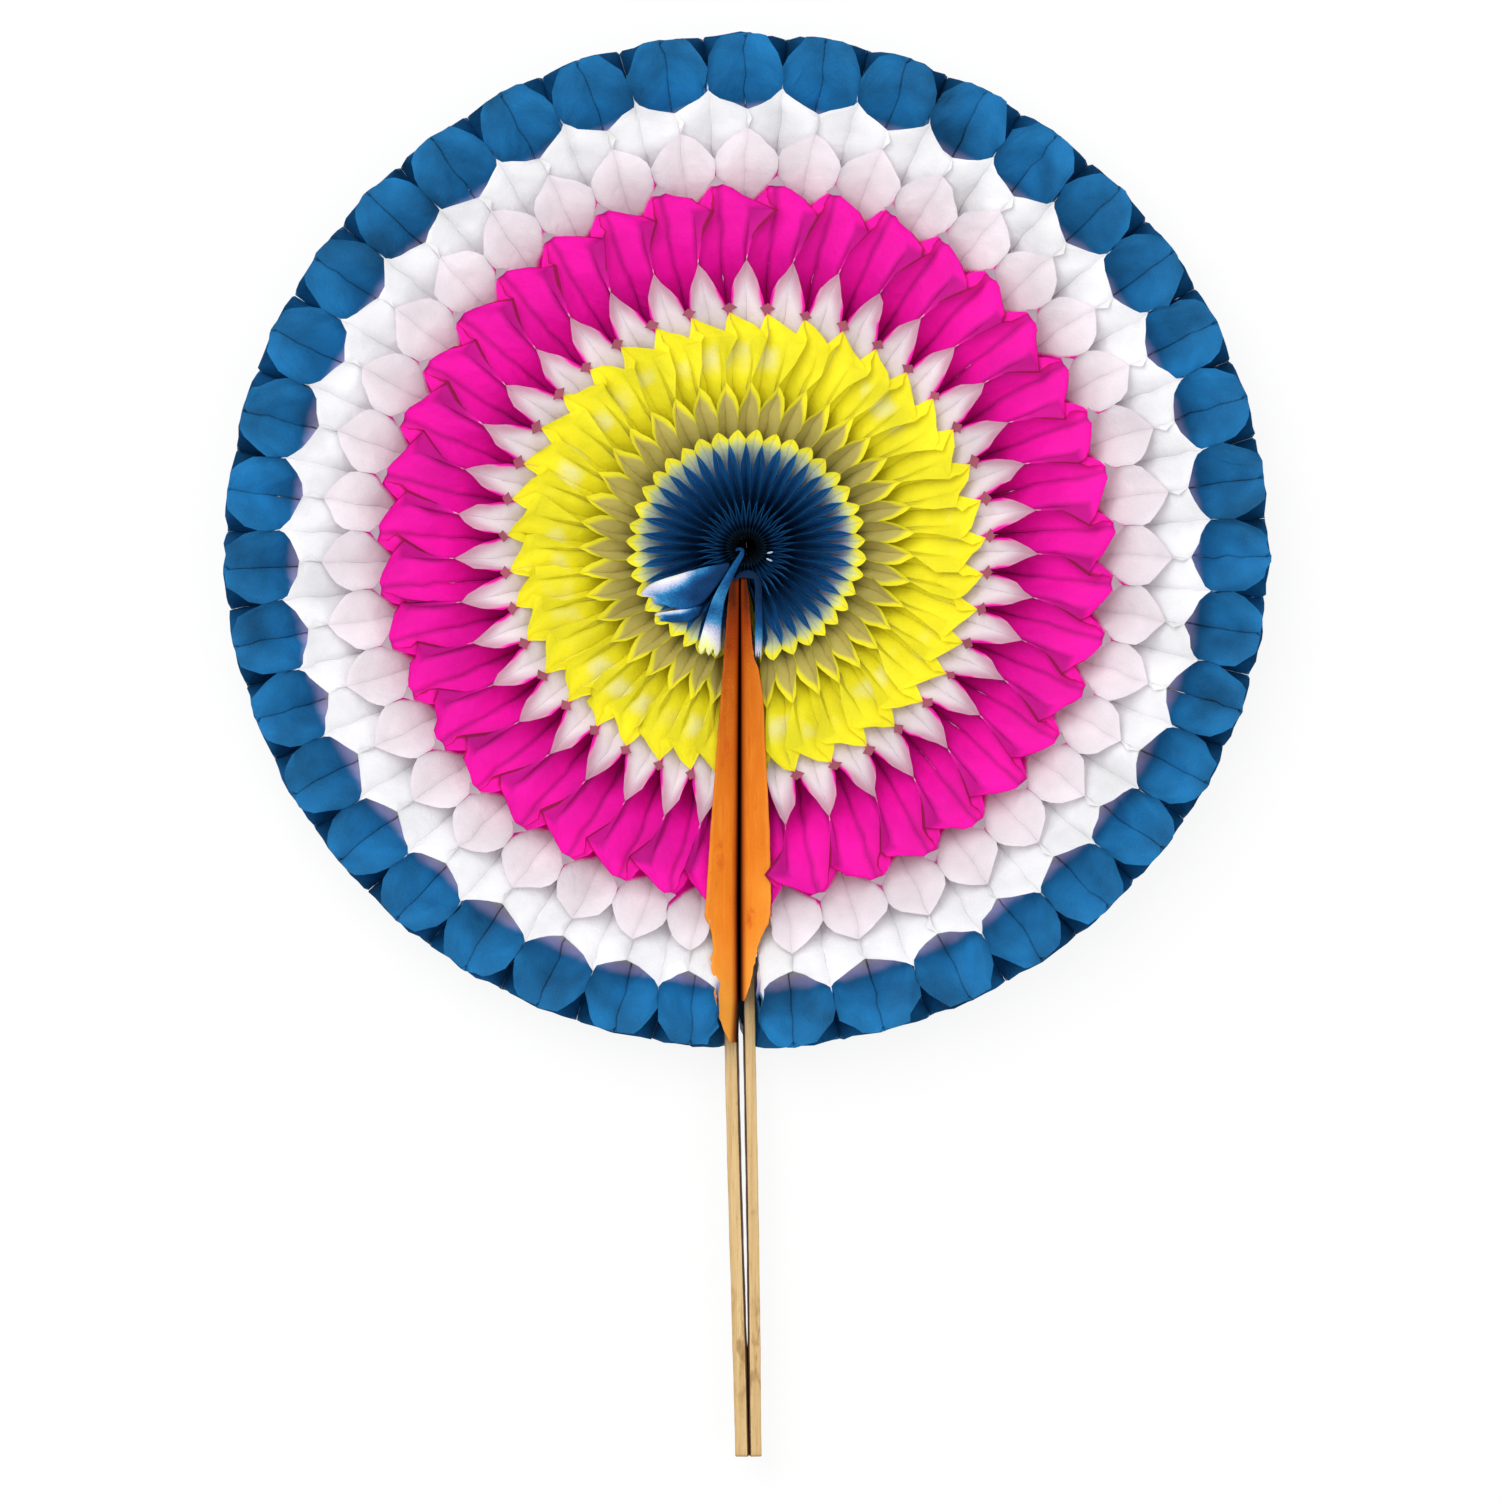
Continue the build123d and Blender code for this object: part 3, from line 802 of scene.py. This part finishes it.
def buildStripEnds(fibreGroup):
    material = stripEndMaterial(fibreGroup)
    tree, petalsKey = openRoundTree(material)
    mesh = openRound("stripEnds", stripEndMesh(), tree, petalsKey)
    dropPetal(mesh, stripEnds["atSeam"])
    settleSheets(mesh, 1)
    piece = makeObject("stripEnds", mesh)
    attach(piece, "root")
    print("stripEnds", len(mesh.polygons), "faces")


def dropPetal(mesh, number):
    work = bmesh.new()
    work.from_mesh(mesh)
    layer = work.verts.layers.float["petal"]
    gone = [v for v in work.verts if round(v[layer]) == number]
    bmesh.ops.delete(work, geom=gone, context="VERTS")
    work.to_mesh(mesh)
    work.free()


def photoPlace(x, y, z):
    # a pixel of the photo, carried down to the front plane of the fan
    return ((x - photo["hubX"]) * pixel, (photo["hubY"] - y) * pixel, z)


def gridMesh(name, rows, attributes):
    width = len(rows[0])
    points = [p for row in rows for p in row]
    faces = []
    for r in range(len(rows) - 1):
        for c in range(width - 1):
            a = r * width + c
            faces.append((a, a + 1, a + width + 1, a + width))
    mesh = meshFrom(name, points, faces, attributes)
    normal = sum((f.normal * f.area for f in mesh.polygons), Vector())
    if normal.z < 0:
        mesh.flip_normals()
    return mesh


def tubeFaces(first, rings, width):
    # rings of points joined into a tube with closed ends
    faces = []
    for ring in range(rings - 1):
        for n in range(width):
            a = first + ring * width + n
            b = first + ring * width + (n + 1) % width
            faces.append((a, b, b + width, a + width))
    last = first + (rings - 1) * width
    faces.append(tuple(range(first + width - 1, first - 1, -1)))
    faces.append(tuple(range(last, last + width)))
    return faces


def thicken(piece, thickness):
    solid = piece.modifiers.new("thickness", "SOLIDIFY")
    solid.thickness = thickness
    solid.offset = -1.0
    graph = bpy.context.evaluated_depsgraph_get()
    mesh = bpy.data.meshes.new_from_object(piece.evaluated_get(graph))
    piece.modifiers.remove(solid)
    piece.data = mesh


# cover papers: outlines in photo pixels, (down the picture, across the picture)
coverPaper = {
    "leftOuter": (
        (578, 731), (600, 728.5), (620, 727), (700, 721), (760, 716.5), (830, 711), (870, 708.5),
        (896, 706.8), (913, 705.0), (918, 706.0), (926, 710), (938, 712.4), (952, 713.5), (957, 711.3),
        (966, 712), (975, 713), (983, 714.5), (1005, 716), (1022, 720.8), (1031, 724.5), (1044, 730.5),
    ),
    "leftInner": ((578, 738.5), (700, 737), (830, 735.8), (900, 735), (1000, 735.5), (1044, 732.5)),
    "rightInner": ((578, 741.3), (700, 742.4), (830, 742.8), (1002, 743.2)),
    "rightOuter": (
        (578, 746), (600, 749), (640, 751.5), (658, 753.5), (668, 758), (700, 763), (760, 765.5),
        (830, 769.2), (896, 770.6), (913, 769.8), (924, 767.8), (945, 758), (966, 753.8), (980, 751),
        (1002, 744.2),
    ),
    "tornFrom": 905.0,
    "tornSoft": 15.0,
    "frayed": (0.15, 0.55),     # unevenness of the outer edge, and what the torn end adds, pixels
    # half the width that the slope runs over: down the picture, pixels
    "fullHalf": ((578, 8.5), (620, 12.0), (700, 18), (830, 27.5), (900, 32.5), (1044, 38.0)),
    "slope": 0.80,
    "curl": (1.15, 0.85),       # how far past that it still rises, and its roundness
    "lip": 0.0014,
    "slitDepth": 0.0050,
    "slitLap": 0.35,            # pixels that each paper passes the middle, down in the slit
    "waves": (0.00022, 0.00012),
    "waveFrom": 12.0,
    "widest": 34.0,
    "thickness": 0.00028,
    "stepsAlong": 110,
    "stepsAcross": 9,
    "light": (0.93, 0.36, 0.045),
    "main": (0.78, 0.22, 0.015),
    "warm": (0.62, 0.155, 0.010),
    # the next three tones are painted shade, at the hub and in and beside the slit
    "deep": (0.33, 0.046, 0.002),
    "shaded": (0.080, 0.011, 0.001),
    "pit": (0.040, 0.009, 0.004),
    "stain": (0.62, 0.085, 0.012),
    # from the hub down, with painted shade darkest at the hub: share of the length, colour
    "tones": ((0.0, "shaded"), (0.14, "deep"), (0.32, "warm"), (0.60, "main"), (0.95, "light")),
}


def coverLine(name, down):
    return np.interp(down, *zip(*coverPaper[name]))


def coverMesh(hand):
    name = "left" if hand < 0 else "right"
    outline = coverPaper[name + "Outer"]
    downs = np.linspace(outline[0][0], outline[-1][0], coverPaper["stepsAlong"])
    shares = np.concatenate(([-1.0, -0.4], np.linspace(0, 1, coverPaper["stepsAcross"])))
    rng = np.random.default_rng(21 if hand < 0 else 22)
    even, torn = coverPaper["frayed"]
    past, curl = coverPaper["curl"]
    wide, narrow = coverPaper["waves"]
    rows, along, across = [], [], []
    for n, down in enumerate(downs):
        innerX = coverLine(name + "Inner", down)
        middleX = (coverLine("leftInner", down) + coverLine("rightInner", down)) / 2
        middleX -= coverPaper["slitLap"] * hand
        tornShare = min(1.0, max(0.0, (down - coverPaper["tornFrom"]) / coverPaper["tornSoft"]))
        outerX = coverLine(name + "Outer", down) + rng.uniform(-1, 1) * (even + torn * tornShare)
        half = coverLine("fullHalf", down)
        low = frontZ + coverPaper["lip"] - half * pixel * coverPaper["slope"]
        row = []
        for share in shares:
            x = innerX + max(share, 0.0) * (outerX - innerX) + min(share, 0.0) * (innerX - middleX)
            reach = abs(x - innerX) * (share > 0)
            wave = wide * math.sin(down * 0.055 + 2.0 * hand) + narrow * math.sin(down * 0.16 + reach * 0.2)
            z = low + coverPaper["slope"] * half * min(reach / half, past) ** curl * pixel
            z += wave * min(1.0, reach / coverPaper["waveFrom"])
            if share < 0:
                z = low + share * coverPaper["slitDepth"]
            row.append(photoPlace(x, down, z))
            along.append(n / (len(downs) - 1))
            across.append(reach / coverPaper["widest"] if share >= 0 else share)
        rows.append(row)
    return gridMesh(name + "CoverSheet", rows, {"along": along, "across": across})


def coverMaterial(fibreGroup):
    material, tree, paper = newMaterial("orangeCover")
    along = attributeOf(tree, "along")
    across = attributeOf(tree, "across")
    place = objectPlace(tree)
    height, shift = paperFibre(tree, fibreGroup, 120.0, 1900.0)
    streaks = grainOf(tree, stretched(tree, place, (900.0, 60.0, 900.0)), 1.0, 3.0, 0.6)
    blotches = grainOf(tree, stretched(tree, place, (1.0, 0.6, 1.0)), 130.0, 4.0, 0.6)
    # painted shade: the papers darken towards the hub, with uneven dye
    run = calc(tree, "MULTIPLY_ADD", shift, 0.5, along)
    colour = rampOf(tree, run, [(at, coverPaper[name]) for at, name in coverPaper["tones"]])
    bleached = fade(tree, streaks, 0.45, 0.75)
    colour = tint(tree, colour, coverPaper["light"], bleached, fade(tree, along, 0.10, 0.50), 0.35)
    colour = tint(tree, colour, coverPaper["stain"], fade(tree, blotches, 0.60, 0.72), 0.65)
    # painted shade darkens the papers towards the slit and paints the slit near black
    colour = tint(tree, colour, coverPaper["deep"], fade(tree, across, 0.14, -0.05), 0.85)
    colour = tint(tree, colour, coverPaper["pit"], fade(tree, across, -0.02, -0.70))
    feed(tree, paper.inputs["Base Color"], colour)
    paper.inputs["Roughness"].default_value = 0.6
    paper.inputs["Specular IOR Level"].default_value = 0.12
    bumpInto(tree, paper, height, 0.4, 0.0008)
    return material


def buildCovers(fibreGroup):
    material = coverMaterial(fibreGroup)
    for name, hand, node in (("leftCover", -1, "left_cover_paper"), ("rightCover", 1, "right_cover_paper")):
        piece = makeObject(name, coverMesh(hand), material)
        thicken(piece, coverPaper["thickness"])
        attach(piece, "root")
        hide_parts(node)
        print(name, len(piece.data.polygons), "faces")


# split bamboo: square rods with worn corners, a knuckle and long fibres
bamboo = {
    "side": 0.0030,
    "wider": 0.0004,            # the left rod is the thicker one
    "corner": 0.00045,
    "stations": 90,
    "endTaper": 0.11,
    "knuckle": -0.2105,         # where the cane's joint was
    "knuckleRise": 0.00010,
    "knuckleLength": 0.0035,
    "wander": 0.00012,
    "roll": 7.0,                # degrees that each rod is turned towards the other
    "closing": 0.00012,         # the rods touch at their tails
    # dark brown on the sides facing the other rod: partly the cane's skin, partly painted shade in the gap
    "gapShadeAndSkinBrown": (0.105, 0.045, 0.016),
    "pale": (0.70, 0.49, 0.23),
    "straw": (0.60, 0.39, 0.16),
    "brown": (0.33, 0.17, 0.05),
    "fibre": (0.42, 0.24, 0.075),
}


def stickMesh(name, node, hand):
    low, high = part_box(node)
    side = bamboo["side"] + (bamboo["wider"] if hand < 0 else 0.0)
    # the rod drifts across from one end to the other, so its box is wider than itself
    headX, tailX = low[0] + side / 2, high[0] - side / 2
    midZ = (low[2] + high[2]) / 2
    corner = bamboo["corner"]
    reach = side / 2 - corner
    ring = []
    for quarter in range(4):
        for step in range(4):
            turn = math.radians(quarter * 90 + step * 30)
            cornerX = reach if quarter in (0, 3) else -reach
            cornerZ = reach if quarter in (0, 1) else -reach
            ring.append((cornerX + corner * math.cos(turn), cornerZ + corner * math.sin(turn)))
    points, along, towardsGap = [], [], []
    roll = math.radians(bamboo["roll"]) * -hand
    ends = [0.0, 0.0012] + list(np.linspace(0.01, 0.99, bamboo["stations"])) + [0.9988, 1.0]
    for number, share in enumerate(ends):
        y = high[1] - share * (high[1] - low[1])
        x = headX + share * (tailX - headX)
        x += bamboo["wander"] * math.sin(share * 9.0 + hand) * min(1.0, 8 * (1 - share))
        joint = bamboo["knuckleRise"] * math.exp(-((y - bamboo["knuckle"]) / bamboo["knuckleLength"]) ** 2)
        taper = 1.0 - bamboo["endTaper"] * (number in (0, len(ends) - 1))
        grow = taper * (1.0 + joint / (side / 2))
        for n, (dx, dz) in enumerate(ring):
            worn = 1.0 + 0.018 * math.sin(y * 310 + n * 1.3 + hand) + 0.012 * math.sin(y * 905 + n * 2.1)
            across = dx * math.cos(roll) - dz * math.sin(roll)
            up = dx * math.sin(roll) + dz * math.cos(roll)
            closing = -hand * bamboo["closing"] * share * (across * hand < 0)
            points.append((x + across * grow * worn + closing, y, midZ + up * grow * worn))
            along.append(share)
            towardsGap.append(1.0 if dx * hand < -reach else 0.0)
    mesh = meshFrom(name, points, tubeFaces(0, len(ends), len(ring)), {"along": along, "towardsGap": towardsGap})
    for end in (-1, -2):
        mesh.polygons[end].use_smooth = False
    middle = mesh.polygons[0].center
    if mesh.polygons[0].normal.dot(middle - Vector((headX, middle.y, midZ))) < 0:
        mesh.flip_normals()
    return mesh


def bambooMaterial():
    material, tree, wood = newMaterial("splitBamboo")
    place = objectPlace(tree)
    lengthwise = stretched(tree, place, (1.0, 0.018, 1.0))
    fibres = grainOf(tree, lengthwise, 5200.0, 4.0, 0.65)
    bands = grainOf(tree, lengthwise, 900.0, 2.0, 0.5)
    scuffs = grainOf(tree, stretched(tree, place, (1.0, 0.28, 1.0)), 520.0, 3.0, 0.6)
    colour = rampOf(tree, bands, ((0.34, bamboo["straw"]), (0.62, bamboo["pale"])))
    colour = tint(tree, colour, bamboo["fibre"], fade(tree, fibres, 0.50, 0.72), 0.75)
    # scuffed at the knuckle and stained here and there
    split = tree.nodes.new("ShaderNodeSeparateXYZ")
    feed(tree, split.inputs[0], place)
    fromKnuckle = calc(tree, "ABSOLUTE", calc(tree, "SUBTRACT", split.outputs["Y"], bamboo["knuckle"]))
    atKnuckle = fade(tree, fromKnuckle, 0.019, 0.004)
    colour = tint(tree, colour, bamboo["brown"], atKnuckle, fade(tree, scuffs, 0.47, 0.64), 0.75)
    colour = tint(tree, colour, bamboo["brown"], fade(tree, scuffs, 0.60, 0.72), 0.35)
    # the sides facing the other rod are dark brown, partly the cane's skin and partly painted shade in the
    # gap between the rods
    colour = tint(tree, colour, bamboo["gapShadeAndSkinBrown"], fade(tree, attributeOf(tree, "towardsGap"), 0.55, 0.95))
    # darker cut ends
    fromMiddle = calc(tree, "ABSOLUTE", calc(tree, "SUBTRACT", attributeOf(tree, "along"), 0.5))
    colour = tint(tree, colour, bamboo["brown"], fade(tree, fromMiddle, 0.4965, 0.5), 0.7)
    feed(tree, wood.inputs["Base Color"], colour)
    feed(tree, wood.inputs["Roughness"], calc(tree, "MULTIPLY_ADD", fibres, 0.3, 0.35))
    wood.inputs["Specular IOR Level"].default_value = 0.35
    bumpInto(tree, wood, fibres, 0.5, 0.0002)
    return material


def buildSticks():
    material = bambooMaterial()
    for name, hand, node in (("leftRod", -1, "left_stick"), ("rightRod", 1, "right_stick")):
        piece = makeObject(name, stickMesh(name, node, hand), material)
        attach(piece, "root")
        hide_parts(node)
        print(name, len(piece.data.polygons), "faces")


# pages that turned over at the hub, in photo pixels: middle line, half width, height over the front
turnedPages = {
    "hook": (
        (709.5, 648, 11.5, 0.5), (711, 637, 9.8, 1.5), (713.5, 622, 8.2, 2.5), (718.5, 599, 6.0, 3.5),
        (729, 577, 3.9, 3.5), (738, 561, 3.0, 3.0), (742.3, 554, 2.4, 1.5), (742.5, 550, 2.0, 0.5),
        (739, 548.5, 1.6, -2.0), (735, 550.5, 1.3, -6.0),
    ),
    "arch": (
        (758.5, 650, 3.4, 0.0), (759, 628, 3.8, 1.0), (758.5, 602, 3.8, 1.5), (758.5, 584, 3.4, 1.5),
        (756, 576.5, 3.2, 1.5), (748.5, 574, 4.4, 1.5), (740, 575, 2.6, 1.0), (733.5, 581, 1.2, 0.0),
    ),
    "ribbonSteps": 40,
    "ribbonAcross": 13,
    "ribbonLift": 2.0,
    "scallop": 8.0,             # pointed foot of a ribbon, and the steps that it takes
    "scallopSteps": 5.0,
    # outlines of the wider pages: upper edge and lower edge
    "fanUpper": ((729, 563), (706, 566.5), (676, 575), (650, 583), (641, 593)),
    "fanLower": ((730, 569), (718, 585), (703, 604), (685, 611), (661, 605)),
    "fanRise": 2.5,
    "smallUpper": ((702, 606), (690, 608), (672, 610.5), (655, 613.5)),
    "smallLower": ((700, 615), (690, 621), (677, 623), (664, 621.5)),
    "smallRise": 1.0,
    "pageSteps": 18,
    "pageAcross": 14,
    # tone along a ribbon, from its foot to the hub: share of the length, tone
    "hookTone": (
        (0.0, 1.0), (0.04, 0.92), (0.10, 0.74), (0.16, 0.60), (0.22, 0.40), (0.42, 0.33), (0.60, 0.22),
        (1.0, 0.10),
    ),
    "archTone": ((0.0, 0.74), (0.08, 0.50), (0.20, 0.20), (0.45, 0.04), (1.0, 0.0)),
    "tones": (
        (0.0, "navy"), (0.14, "blue"), (0.28, "midBlue"), (0.42, "skyBlue"), (0.60, "lavender"),
        (0.74, "white"), (0.90, "lemon"),
    ),
    "navy": (0.003, 0.018, 0.055),
    "blue": (0.004, 0.038, 0.130),
    "midBlue": (0.007, 0.085, 0.250),
    "skyBlue": (0.040, 0.230, 0.470),
    "lavender": (0.50, 0.51, 0.66),
    "white": (0.70, 0.70, 0.74),
    "lemon": (0.80, 0.82, 0.28),
    "thickness": 0.00012,
}


def smoothPath(points, count):
    # even steps along a soft line through the points
    points = np.array(points, dtype=float)
    spots = np.linspace(0, 1, len(points))
    fine = np.linspace(0, 1, count)
    line = np.stack([np.interp(fine, spots, points[:, n]) for n in range(points.shape[1])], axis=1)
    for _ in range(3):
        line[1:-1] = (line[:-2] + 2 * line[1:-1] + line[2:]) / 4
    return line


def ribbonRows(which):
    line = smoothPath(turnedPages[which], turnedPages["ribbonSteps"])
    last = len(line) - 1
    rows, along = [], []
    for n, (x, y, half, lift) in enumerate(line):
        way = line[min(n + 1, last)][:2] - line[max(n - 1, 0)][:2]
        way = way / max(np.linalg.norm(way), 1e-6)
        foot = turnedPages["scallop"] * max(0.0, 1.0 - n / turnedPages["scallopSteps"])
        row = []
        for share in np.linspace(-1, 1, turnedPages["ribbonAcross"]):
            scallop = foot * abs(math.cos(share * 1.5 * math.pi))
            px = x - way[1] * half * share - way[0] * scallop
            py = y + way[0] * half * share - way[1] * scallop
            dome = (1 - share * share) * 1.2 - share * 1.5
            row.append(photoPlace(px, py, frontZ + (lift + dome + turnedPages["ribbonLift"]) * pixel))
            along.append(n / last)
        rows.append(row)
    return rows, np.interp(along, *zip(*turnedPages[which + "Tone"]))


def fanPageRows(which):
    steps = turnedPages["pageSteps"]
    upper = smoothPath(turnedPages[which + "Upper"], steps)
    lower = smoothPath(turnedPages[which + "Lower"], steps)
    rows, tone = [], []
    for n in range(steps):
        out = n / (steps - 1)
        row = []
        for share in np.linspace(0, 1, turnedPages["pageAcross"]):
            x, y = upper[n] * (1 - share) + lower[n] * share
            ragged = 1.8 * math.sin(share * 10.0) * max(0.0, out - 0.85) / 0.15
            dome = math.sin(math.pi * share) * math.sin(math.pi * min(1.0, 0.15 + out * 0.9))
            crumple = 0.5 * math.sin(x * 0.35 + y * 0.22) + 0.4 * math.sin(x * 0.16 - y * 0.41)
            lift = turnedPages[which + "Rise"] + 3.0 * dome - 2.0 * out + crumple * min(1.0, 4 * out)
            row.append(photoPlace(x - ragged, y + ragged * 0.5, frontZ + lift * pixel))
            pale = max(0.0, 1.0 - share / 0.62) * min(1.0, 0.10 + out * 1.7)
            tip = max(0.0, out - 0.74) * 3.0 * (1 - share * 0.7)
            tone.append(min(0.64, max(pale * 0.75, tip, 0.04 + 0.20 * out)))
        rows.append(row)
    return rows, tone


def turnedMaterial(fibreGroup):
    material, tree, paper = newMaterial("turnedTissue")
    height, shift = paperFibre(tree, fibreGroup, 190.0, 2600.0)
    tone = calc(tree, "MULTIPLY_ADD", shift, 0.75, attributeOf(tree, "tone"))
    colour = rampOf(tree, tone, [(at, turnedPages[name]) for at, name in turnedPages["tones"]])
    colour = brightened(tree, colour, calc(tree, "MULTIPLY_ADD", shift, 0.8, 1.0))
    feed(tree, paper.inputs["Base Color"], colour)
    paper.inputs["Roughness"].default_value = 0.72
    paper.inputs["Specular IOR Level"].default_value = 0.08
    bumpInto(tree, paper, height, 0.45, 0.001)
    return material


def buildTurnedPages(fibreGroup):
    material = turnedMaterial(fibreGroup)
    pages = (
        ("hookPage", ribbonRows("hook")), ("archPage", ribbonRows("arch")),
        ("fanPage", fanPageRows("fan")), ("smallPage", fanPageRows("small")),
    )
    for name, (rows, tone) in pages:
        piece = makeObject(name, gridMesh(name, rows, {"tone": tone}), material)
        thicken(piece, turnedPages["thickness"])
        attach(piece, "root")
        print(name, len(piece.data.polygons), "faces")


# thread: the binding ring keeps its solid, two cut ends show beside the hub
thread = {
    "ends": ((766.8, 553.4, 773.0, 552.0), (766.2, 558.6, 772.4, 561.2)),   # photo pixels
    "half": 1.0,
    "lift": 0.6,                # pixels over the front, and as much again in the middle
    "steps": 9,
    "sides": 8,
    "colour": (0.50, 0.60, 0.74),
    "shade": (0.30, 0.40, 0.56),
}


def threadMaterial():
    material, tree, yarn = newMaterial("bindingYarn")
    place = objectPlace(tree)
    twist = tree.nodes.new("ShaderNodeTexWave")
    twist.wave_type = "BANDS"
    twist.bands_direction = "DIAGONAL"
    twist.inputs["Scale"].default_value = 900.0
    twist.inputs["Distortion"].default_value = 1.5
    feed(tree, twist.inputs["Vector"], place)
    colour = blendColours(tree, twist.outputs["Fac"], thread["shade"], thread["colour"])
    feed(tree, yarn.inputs["Base Color"], colour)
    yarn.inputs["Roughness"].default_value = 0.85
    bumpInto(tree, yarn, twist.outputs["Fac"], 0.6, 0.0001)
    return material


def buildThread():
    material = threadMaterial()
    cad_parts["binding_thread"].material_slots[0].material = material
    points, faces = [], []
    sides, steps = thread["sides"], thread["steps"]
    for x0, y0, x1, y1 in thread["ends"]:
        faces += tubeFaces(len(points), steps, sides)
        way = np.array([x1 - x0, y1 - y0])
        across = np.array([-way[1], way[0]]) / np.linalg.norm(way)
        for share in np.linspace(0, 1, steps):
            half = thread["half"] * math.sqrt(max(0.04, 1 - (2 * share - 1) ** 4))
            middle = np.array([x0, y0]) + way * share
            lift = thread["lift"] * (1 + math.sin(math.pi * share))
            for k in range(sides):
                turn = 2 * math.pi * k / sides
                spot = middle + across * half * math.cos(turn)
                points.append(photoPlace(spot[0], spot[1], frontZ + (lift + half * math.sin(turn)) * pixel))
    mesh = meshFrom("threadEnds", points, faces)
    piece = makeObject("threadEnds", mesh, material)
    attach(piece, "root")
    print("threadEnds", len(mesh.polygons), "faces")


buildStudio()
fibreGroup = paperFibreGroup()
buildHoneycomb(fibreGroup)
buildStripEnds(fibreGroup)
buildCovers(fibreGroup)
buildSticks()
buildTurnedPages(fibreGroup)
buildThread()
